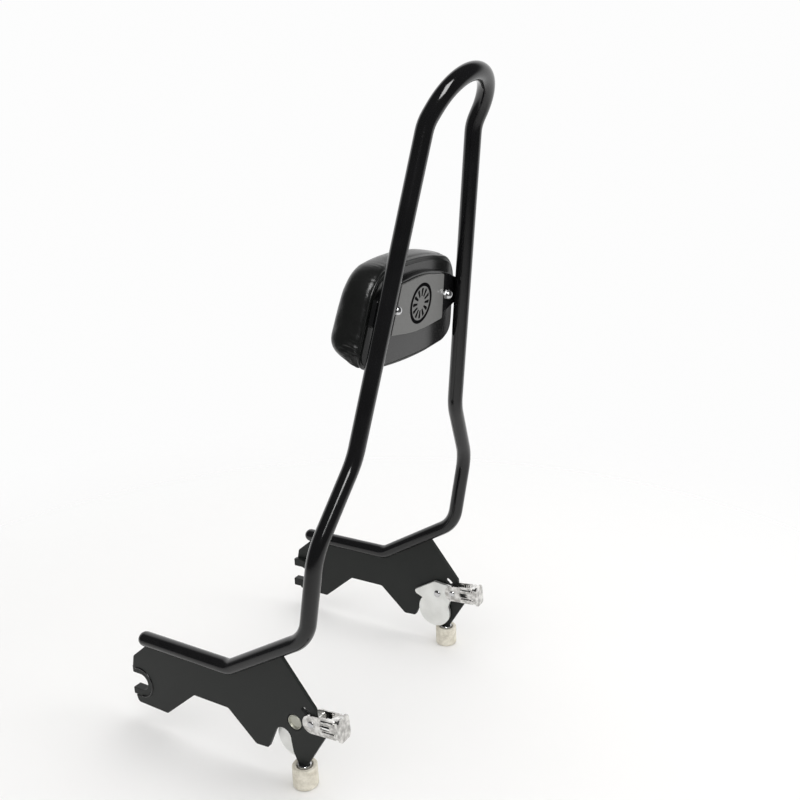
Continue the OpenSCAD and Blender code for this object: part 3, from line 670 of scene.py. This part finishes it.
for vert in bm.verts:
    x, s, f = vert.co
    deep = f - pad_back
    vert.co.z = max(f, pad_back)
    # The lower front edge is lifted and drawn in, and the sides swell out above it.
    front = share(deep / pad_depth, 0.25, 0.75)
    under = share((pad_mid_s - s) / half_height, 0.3, 0.7)
    beside = share(abs(x) / pad_half_low, 0.4, 0.5)
    belly = max(0.0, 1 - ((s - belly_s) / belly_half) ** 2)
    vert.co.y += (chin_lift * front + chin_tuck * share(deep, 0.0, chin_tuck_reach)) * under
    vert.co.x *= 1 + (belly_widening * belly - chin_narrowing * under) * beside * front
    vert.co.z += belly_forward * belly * beside * front
    # Slanting folds lie on the lower part of the boxing.
    fold = sin(fold_by_s * (s - fold_from_s) + fold_by_depth * deep - fold_by_x * abs(x))
    folded = hump(deep, fold_f, fold_half_f) * hump(s, fold_s, fold_half_s) * beside
    vert.co.x -= (fold_depth if x > 0 else -fold_depth) * folded * max(0.0, fold)
    # The vinyl is pulled in beside the piped seam.
    near_seam = hump(deep, groove_f, groove_half_f)
    outward = Vector((x / pad_half_low, (s - pad_mid_s) / half_height, 0))
    if outward.length > groove_out and near_seam:
        vert.co -= outward.normalized() * groove_depth * near_seam * near_seam
    # It gathers in pleats that run out from each corner.
    for index, (corner_x, corner_s, pleat_depth) in enumerate(pleated_corners):
        away = Vector((x - corner_x, s - corner_s))
        reach = hump(deep, pleat_f, pleat_half_f) * (1 - share(away.length, pleat_start, pleat_fade))
        if reach and outward.length > pleat_out:
            pleat = sin(atan2(away.y, away.x) * pleats_a_turn + index)
            vert.co += outward.normalized() * pleat_depth * reach * pleat
bmesh.ops.transform(bm, matrix=lean_frame, verts=bm.verts)
bmesh.ops.recalc_face_normals(bm, faces=bm.faces)
for face in bm.faces:
    face.smooth = True
bm.to_mesh(cushion_mesh)
bm.free()

vinyl = bpy.data.materials.new("black_grained_vinyl")
vinyl.use_nodes = True
nodes, links = vinyl.node_tree.nodes, vinyl.node_tree.links
shader = nodes["Principled BSDF"]
shader.inputs["Specular IOR Level"].default_value = 0.42
shader.inputs["Sheen Weight"].default_value = 0.07
shader.inputs["Sheen Roughness"].default_value = 0.3
where = nodes.new("ShaderNodeTexCoord")
pebble = nodes.new("ShaderNodeTexVoronoi")
pebble.feature = "DISTANCE_TO_EDGE"
pebble.inputs["Scale"].default_value = 850
warp = nodes.new("ShaderNodeTexNoise")
warp.inputs["Scale"].default_value = 420
warp.inputs["Detail"].default_value = 4
crease = nodes.new("ShaderNodeTexNoise")
crease.inputs["Scale"].default_value = 55
crease.inputs["Detail"].default_value = 6
tone = nodes.new("ShaderNodeValToRGB")
tone.color_ramp.elements[0].position = 0.25
tone.color_ramp.elements[0].color = (0.0046, 0.0051, 0.0047, 1)
tone.color_ramp.elements[1].position = 0.8
tone.color_ramp.elements[1].color = (0.0088, 0.0095, 0.0088, 1)
rough = nodes.new("ShaderNodeMapRange")
rough.inputs["To Min"].default_value = 0.25
rough.inputs["To Max"].default_value = 0.36
soft = nodes.new("ShaderNodeMath")
soft.operation = "MULTIPLY_ADD"
soft.inputs[1].default_value = 0.35
grain_bump = nodes.new("ShaderNodeBump")
grain_bump.inputs["Strength"].default_value = 0.35
grain_bump.inputs["Distance"].default_value = 0.0003
crease_bump = nodes.new("ShaderNodeBump")
crease_bump.inputs["Strength"].default_value = 0.16
crease_bump.inputs["Distance"].default_value = 0.0012
links.new(where.outputs["Object"], pebble.inputs["Vector"])
links.new(where.outputs["Object"], warp.inputs["Vector"])
links.new(where.outputs["Object"], crease.inputs["Vector"])
links.new(pebble.outputs["Distance"], soft.inputs[0])
links.new(warp.outputs["Fac"], soft.inputs[2])
links.new(soft.outputs["Value"], grain_bump.inputs["Height"])
links.new(crease.outputs["Fac"], crease_bump.inputs["Height"])
links.new(crease_bump.outputs["Normal"], grain_bump.inputs["Normal"])
links.new(grain_bump.outputs["Normal"], shader.inputs["Normal"])
links.new(crease.outputs["Fac"], tone.inputs["Fac"])
links.new(tone.outputs["Color"], shader.inputs["Base Color"])
links.new(warp.outputs["Fac"], rough.inputs["Value"])
links.new(rough.outputs["Result"], shader.inputs["Roughness"])
cushion_mesh.materials.append(vinyl)
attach(cushion, "frame")
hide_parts("pad_cushion")

# ------------------------------------------------------------------ Pad piping
# A cord a little over 3 mm thick, covered in the same vinyl and sewn into the seam between the
# boxing and the rear panel all the way round.
piping_r = 0.0016
piping_inset, piping_forward = 0.0009, 0.0024
piping_step = 0.006
piping_mesh = bpy.data.meshes.new("pad_piping")
piping = bpy.data.objects.new("pad_piping", piping_mesh)
bpy.context.scene.collection.objects.link(piping)
bm = bmesh.new()
pad_outline(bm, piping_inset, pad_back + piping_forward)
bmesh.ops.subdivide_edges(bm, edges=[e for e in bm.edges if e.calc_length() > piping_step], cuts=2)
bmesh.ops.delete(bm, geom=list(bm.faces), context="FACES_ONLY")
bmesh.ops.transform(bm, matrix=lean_frame, verts=bm.verts)
bm.to_mesh(piping_mesh)
bm.free()
for each in bpy.context.selected_objects:
    each.select_set(False)
bpy.context.view_layer.objects.active = piping
piping.select_set(True)
bpy.ops.object.convert(target="CURVE")
piping = bpy.context.view_layer.objects.active
piping.data.bevel_depth = piping_r
piping.data.bevel_resolution = 4
bpy.ops.object.convert(target="MESH")
piping = bpy.context.view_layer.objects.active
piping.name = "pad_piping"
for polygon in piping.data.polygons:
    polygon.use_smooth = True
piping.data.materials.clear()
piping.data.materials.append(vinyl)
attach(piping, "frame")

# ------------------------------------------------------------------ Backing board
# Moulded black plastic board in the back of the cushion, which carries the two studs. Its edge
# is seen round the cross plate; near the ends its reflection is turned down as painted shade from
# the legs. The latches' thrust washers are moulded in the same plastic.
shade_begins_x, shade_full_x = 0.064, 0.076
board_black = bpy.data.materials.new("moulded_board")
board_black.use_nodes = True
nodes, links = board_black.node_tree.nodes, board_black.node_tree.links
shader = nodes["Principled BSDF"]
where = nodes.new("ShaderNodeTexCoord")
matt = nodes.new("ShaderNodeTexNoise")
matt.inputs["Scale"].default_value = 500
tone = nodes.new("ShaderNodeValToRGB")
tone.color_ramp.elements[0].color = (0.009, 0.009, 0.009, 1)
tone.color_ramp.elements[1].color = (0.016, 0.016, 0.016, 1)
dimple = nodes.new("ShaderNodeBump")
dimple.inputs["Strength"].default_value = 0.2
dimple.inputs["Distance"].default_value = 0.0002
shader.inputs["Roughness"].default_value = 0.21
across_board = nodes.new("ShaderNodeSeparateXYZ")
from_middle = nodes.new("ShaderNodeMath")
from_middle.operation = "ABSOLUTE"
# Painted shade: the board's reflection is turned down towards both ends, beside the legs, where the legs
# shade it.
painted_end_shade = nodes.new("ShaderNodeMapRange")
painted_end_shade.interpolation_type = "SMOOTHSTEP"
painted_end_shade.inputs["From Min"].default_value = shade_begins_x
painted_end_shade.inputs["From Max"].default_value = shade_full_x
painted_end_shade.inputs["To Min"].default_value = 0.36
painted_end_shade.inputs["To Max"].default_value = 0.08
links.new(where.outputs["Object"], across_board.inputs["Vector"])
links.new(across_board.outputs["X"], from_middle.inputs[0])
links.new(from_middle.outputs["Value"], painted_end_shade.inputs["Value"])
links.new(painted_end_shade.outputs["Result"], shader.inputs["Specular IOR Level"])
links.new(where.outputs["Object"], matt.inputs["Vector"])
links.new(matt.outputs["Fac"], tone.inputs["Fac"])
links.new(matt.outputs["Fac"], dimple.inputs["Height"])
links.new(tone.outputs["Color"], shader.inputs["Base Color"])
links.new(dimple.outputs["Normal"], shader.inputs["Normal"])
for name in ("pad_board", "left_thrust_washer", "right_thrust_washer"):
    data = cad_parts[name].data
    data.materials.clear()
    data.materials.append(board_black)

# ------------------------------------------------------------------ Studs, washers and dome nuts
# Two steel studs with flat heads in the board go through the cross plate, each with a black
# washer and a slim chromed dome nut on the back.
nut_r = 0.0048
fasteners = (
    ("dome_nut", "acorn_nut", 0.0003),
    ("nut_washer", "flat_washer", 0.0002),
    ("pad_bolt", "pad_stud", 0.0002))
bright_chrome = bpy.data.materials.new("bright_chrome")
bright_chrome.use_nodes = True
nodes, links = bright_chrome.node_tree.nodes, bright_chrome.node_tree.links
shader = nodes["Principled BSDF"]
shader.inputs["Metallic"].default_value = 1
where = nodes.new("ShaderNodeTexCoord")
smear = nodes.new("ShaderNodeTexNoise")
smear.inputs["Scale"].default_value = 90
smear.inputs["Detail"].default_value = 5
tone = nodes.new("ShaderNodeValToRGB")
tone.color_ramp.elements[0].position = 0.3
tone.color_ramp.elements[0].color = (0.56, 0.565, 0.57, 1)
tone.color_ramp.elements[1].position = 0.75
tone.color_ramp.elements[1].color = (0.64, 0.64, 0.65, 1)
rough = nodes.new("ShaderNodeMapRange")
rough.inputs["To Min"].default_value = 0.05
rough.inputs["To Max"].default_value = 0.14
links.new(where.outputs["Object"], smear.inputs["Vector"])
links.new(smear.outputs["Fac"], tone.inputs["Fac"])
links.new(smear.outputs["Fac"], rough.inputs["Value"])
links.new(tone.outputs["Color"], shader.inputs["Base Color"])
links.new(rough.outputs["Result"], shader.inputs["Roughness"])
for side in ("left", "right"):
    for node, name, ease in fasteners:
        fastener = eased(side + "_" + node, side + "_" + name, ease)
        fastener.data.materials.append(gloss_black if node == "nut_washer" else bright_chrome)
        on_face = [from_lean @ v.co for v in fastener.data.vertices]
        stud_x = (min(c.x for c in on_face) + max(c.x for c in on_face)) / 2
        stud_s = (min(c.y for c in on_face) + max(c.y for c in on_face)) / 2
        for vert, here in zip(fastener.data.vertices, on_face):
            spoke = Vector((here.x - stud_x, here.y - stud_s))
            if spoke.length > nut_r:
                spoke *= nut_r / spoke.length
                vert.co = lean_frame @ Vector((stud_x + spoke.x, stud_s + spoke.y, here.z))
        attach(fastener, "frame")
        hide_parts(side + "_" + node)

# ------------------------------------------------------------------ Latches
# Each latch is a blanked steel plate, zinc plated, on a shoulder rivet whose dished cap turns in
# the recess of the side plate. Its lobe closes the rear slot.
pivot_y, pivot_z = 0.0437, 0.0675
cap_from_r, cap_drawn_in = 0.006, 0.07
inner_head_x = 0.141
latch_pieces = (("latch_plate", "latch_blank", 0.0004), ("latch_pivot", "shoulder_rivet", 0.0002))
zinc = bpy.data.materials.new("zinc_plate")
zinc.use_nodes = True
nodes, links = zinc.node_tree.nodes, zinc.node_tree.links
shader = nodes["Principled BSDF"]
shader.inputs["Metallic"].default_value = 0.85
where = nodes.new("ShaderNodeTexCoord")
stretch = nodes.new("ShaderNodeMapping")
stretch.inputs["Scale"].default_value = (1, 1, 14)
brushed = nodes.new("ShaderNodeTexNoise")
brushed.inputs["Scale"].default_value = 120
brushed.inputs["Detail"].default_value = 4
bloom = nodes.new("ShaderNodeTexNoise")
bloom.inputs["Scale"].default_value = 45
bloom.inputs["Detail"].default_value = 5
tone = nodes.new("ShaderNodeValToRGB")
tone.color_ramp.elements[0].position = 0.3
tone.color_ramp.elements[0].color = (0.74, 0.745, 0.72, 1)
tone.color_ramp.elements[1].position = 0.7
tone.color_ramp.elements[1].color = (0.88, 0.885, 0.865, 1)
rough = nodes.new("ShaderNodeMapRange")
rough.inputs["To Min"].default_value = 0.34
rough.inputs["To Max"].default_value = 0.5
scratch = nodes.new("ShaderNodeBump")
scratch.inputs["Strength"].default_value = 0.1
scratch.inputs["Distance"].default_value = 0.0001
links.new(where.outputs["Object"], stretch.inputs["Vector"])
links.new(stretch.outputs["Vector"], brushed.inputs["Vector"])
links.new(where.outputs["Object"], bloom.inputs["Vector"])
links.new(bloom.outputs["Fac"], tone.inputs["Fac"])
links.new(brushed.outputs["Fac"], rough.inputs["Value"])
links.new(brushed.outputs["Fac"], scratch.inputs["Height"])
links.new(tone.outputs["Color"], shader.inputs["Base Color"])
links.new(rough.outputs["Result"], shader.inputs["Roughness"])
links.new(scratch.outputs["Normal"], shader.inputs["Normal"])
cap_zinc = zinc.copy()
cap_zinc.name = "passivated_zinc"
cap_tone = next(n for n in cap_zinc.node_tree.nodes if n.type == "VALTORGB")
cap_tone.color_ramp.elements[0].color = (0.42, 0.42, 0.365, 1)
cap_tone.color_ramp.elements[1].color = (0.54, 0.54, 0.475, 1)
for side in ("left", "right"):
    for node, name, ease in latch_pieces:
        latch = eased(side + "_" + node, side + "_" + name, ease)
        latch.data.materials.append(zinc if node == "latch_plate" else cap_zinc)
        if node == "latch_pivot":
            for vert in latch.data.vertices:
                spoke = Vector((0, vert.co.y - pivot_y, vert.co.z - pivot_z))
                if spoke.length > cap_from_r:
                    vert.co -= spoke * cap_drawn_in
            latch.data.materials.append(bright_chrome)
            for polygon in latch.data.polygons:
                polygon.material_index = int(abs(polygon.center.x) < inner_head_x)
        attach(latch, side + "_latch")
        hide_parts(side + "_" + node)

# ------------------------------------------------------------------ Return springs
# Two close turns of drawn steel wire, wound round the thrust washer between the side plate and
# the latch plate. They turn the latch back over the slot.
wire = bpy.data.materials.new("drawn_spring_wire")
wire.use_nodes = True
nodes, links = wire.node_tree.nodes, wire.node_tree.links
shader = nodes["Principled BSDF"]
shader.inputs["Metallic"].default_value = 0.9
shader.inputs["Roughness"].default_value = 0.3
where = nodes.new("ShaderNodeTexCoord")
draw_mark = nodes.new("ShaderNodeTexNoise")
draw_mark.inputs["Scale"].default_value = 600
tone = nodes.new("ShaderNodeValToRGB")
tone.color_ramp.elements[0].color = (0.26, 0.26, 0.27, 1)
tone.color_ramp.elements[1].color = (0.44, 0.44, 0.45, 1)
links.new(where.outputs["Object"], draw_mark.inputs["Vector"])
links.new(draw_mark.outputs["Fac"], tone.inputs["Fac"])
links.new(tone.outputs["Color"], shader.inputs["Base Color"])
for side in ("left", "right"):
    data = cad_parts[side + "_return_spring"].data
    data.materials.clear()
    data.materials.append(wire)

# ------------------------------------------------------------------ Levers
# A chromed fork of pressed steel that straddles the side plate and the latch, with a slot in
# each arm and a flared thumb flange behind, riveted through the latch.
lever_pieces = (("lever", "thumb_lever", 0.0005), ("lever_rivet", "fork_rivet", 0.0002))
rolled_chrome = bright_chrome.copy()
rolled_chrome.name = "rolled_chrome"
nodes, links = rolled_chrome.node_tree.nodes, rolled_chrome.node_tree.links
shader = nodes["Principled BSDF"]
where = next(n for n in nodes if n.type == "TEX_COORD")
tone = next(n for n in nodes if n.type == "VALTORGB")
tone.color_ramp.elements[0].position = 0.38
tone.color_ramp.elements[0].color = (0.40, 0.39, 0.375, 1)
tone.color_ramp.elements[1].position = 0.62
tone.color_ramp.elements[1].color = (0.80, 0.79, 0.77, 1)
smear = next(n for n in nodes if n.type == "TEX_NOISE")
smear.inputs["Scale"].default_value = 190
dent = nodes.new("ShaderNodeTexNoise")
dent.inputs["Scale"].default_value = 140
dent.inputs["Detail"].default_value = 2
wavy = nodes.new("ShaderNodeBump")
wavy.inputs["Strength"].default_value = 1.0
wavy.inputs["Distance"].default_value = 0.0013
links.new(where.outputs["Object"], dent.inputs["Vector"])
links.new(dent.outputs["Fac"], wavy.inputs["Height"])
links.new(wavy.outputs["Normal"], shader.inputs["Normal"])
for side in ("left", "right"):
    for node, name, ease in lever_pieces:
        lever = eased(side + "_" + node, side + "_" + name, ease)
        lever.data.materials.append(rolled_chrome if node == "lever" else bright_chrome)
        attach(lever, side + "_latch")
        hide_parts(side + "_" + node)

# ------------------------------------------------------------------ Lever ribs
# Two stiffening ribs rolled into each cheek of the fork, along the lever above and below its
# slot. They catch a dark and a bright band in the chrome.
lever_tilt = radians(5)
rib_r = 0.0021
rib_drawn_out = 0.0060
rib_flatness = 0.42
rib_behind_rivet, rib_from_slot = 0.0195, 0.0058
cheek_reach = 0.004
for side, across in (("left", 1), ("right", -1)):
    rivet = [v.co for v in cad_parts[side + "_lever_rivet"].data.vertices]
    rivet_y = (min(c.y for c in rivet) + max(c.y for c in rivet)) / 2
    rivet_z = (min(c.z for c in rivet) + max(c.z for c in rivet)) / 2
    fork = [v.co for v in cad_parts[side + "_lever"].data.vertices]
    cheeks = [abs(c.x) for c in fork if abs(c.y - rivet_y) < cheek_reach]
    rib_mesh = bpy.data.meshes.new(side + "_lever_ribs")
    ribs = bpy.data.objects.new(side + "_lever_ribs", rib_mesh)
    bpy.context.scene.collection.objects.link(ribs)
    bm = bmesh.new()
    for cheek in (min(cheeks), max(cheeks)):
        for height in (-rib_from_slot, rib_from_slot):
            made = bmesh.ops.create_uvsphere(bm, u_segments=24, v_segments=16, radius=rib_r)["verts"]
            for vert in made:
                vert.co.z += rib_drawn_out if vert.co.z > 0 else -rib_drawn_out
            bmesh.ops.rotate(bm, verts=made, matrix=Matrix.Rotation(pi / 2, 3, "X"))
            bmesh.ops.scale(bm, verts=made, vec=(rib_flatness, 1, 1))
            bmesh.ops.translate(bm, verts=made, vec=(across * cheek, rib_behind_rivet, height))
    bmesh.ops.rotate(bm, verts=bm.verts, matrix=Matrix.Rotation(lever_tilt, 3, "X"))
    bmesh.ops.translate(bm, verts=bm.verts, vec=(0, rivet_y, rivet_z))
    bmesh.ops.recalc_face_normals(bm, faces=bm.faces)
    for face in bm.faces:
        face.smooth = True
    bm.to_mesh(rib_mesh)
    bm.free()
    rib_mesh.materials.append(rolled_chrome)
    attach(ribs, side + "_latch")

# ------------------------------------------------------------------ Foot cups
# Turned rubber cups pushed on the lower tip of each side plate, beige and mottled from the
# filler in the rubber.
cup_ease = 0.0005
mottled = bpy.data.materials.new("mottled_beige_rubber")
mottled.use_nodes = True
nodes, links = mottled.node_tree.nodes, mottled.node_tree.links
shader = nodes["Principled BSDF"]
shader.inputs["Specular IOR Level"].default_value = 0.35
where = nodes.new("ShaderNodeTexCoord")
blotch = nodes.new("ShaderNodeTexNoise")
blotch.inputs["Scale"].default_value = 130
blotch.inputs["Detail"].default_value = 6
blotch.inputs["Roughness"].default_value = 0.65
pore = nodes.new("ShaderNodeTexNoise")
pore.inputs["Scale"].default_value = 900
tone = nodes.new("ShaderNodeValToRGB")
tone.color_ramp.elements[0].position = 0.32
tone.color_ramp.elements[0].color = (0.56, 0.52, 0.425, 1)
tone.color_ramp.elements[1].position = 0.68
tone.color_ramp.elements[1].color = (0.85, 0.81, 0.705, 1)
rough = nodes.new("ShaderNodeMapRange")
rough.inputs["To Min"].default_value = 0.6
rough.inputs["To Max"].default_value = 0.8
pit = nodes.new("ShaderNodeBump")
pit.inputs["Strength"].default_value = 0.3
pit.inputs["Distance"].default_value = 0.0003
links.new(where.outputs["Object"], blotch.inputs["Vector"])
links.new(where.outputs["Object"], pore.inputs["Vector"])
links.new(blotch.outputs["Fac"], tone.inputs["Fac"])
links.new(blotch.outputs["Fac"], rough.inputs["Value"])
links.new(pore.outputs["Fac"], pit.inputs["Height"])
links.new(tone.outputs["Color"], shader.inputs["Base Color"])
links.new(rough.outputs["Result"], shader.inputs["Roughness"])
links.new(pit.outputs["Normal"], shader.inputs["Normal"])
for side in ("left", "right"):
    foot = eased(side + "_foot_cup", side + "_rubber_foot", cup_ease)
    foot.data.materials.append(mottled)
    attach(foot, "frame")
    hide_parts(side + "_foot_cup")

# ------------------------------------------------------------------ Foot ferrules
# A bright steel collar turned with a slight taper and pressed on each plate's tip, on which the
# rubber cup is pushed.
collar_low_r, collar_top_r, collar_long = 0.0075, 0.0068, 0.0052
collar_y, collar_z = 0.0509, 0.0208
collar_ease = 0.0008
for side, across in (("left", 1), ("right", -1)):
    ferrule_mesh = bpy.data.meshes.new(side + "_foot_ferrule")
    ferrule = bpy.data.objects.new(side + "_foot_ferrule", ferrule_mesh)
    bpy.context.scene.collection.objects.link(ferrule)
    bm = bmesh.new()
    bmesh.ops.create_cone(
        bm, cap_ends=True, segments=40, radius1=collar_low_r, radius2=collar_top_r, depth=collar_long,
        matrix=Matrix.Translation((across * rail_x, collar_y, collar_z)))
    break_edges(bm, collar_ease, segments=4)
    for face in bm.faces:
        face.smooth = True
    bm.to_mesh(ferrule_mesh)
    bm.free()
    ferrule_mesh.materials.append(bright_chrome)
    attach(ferrule, "frame")
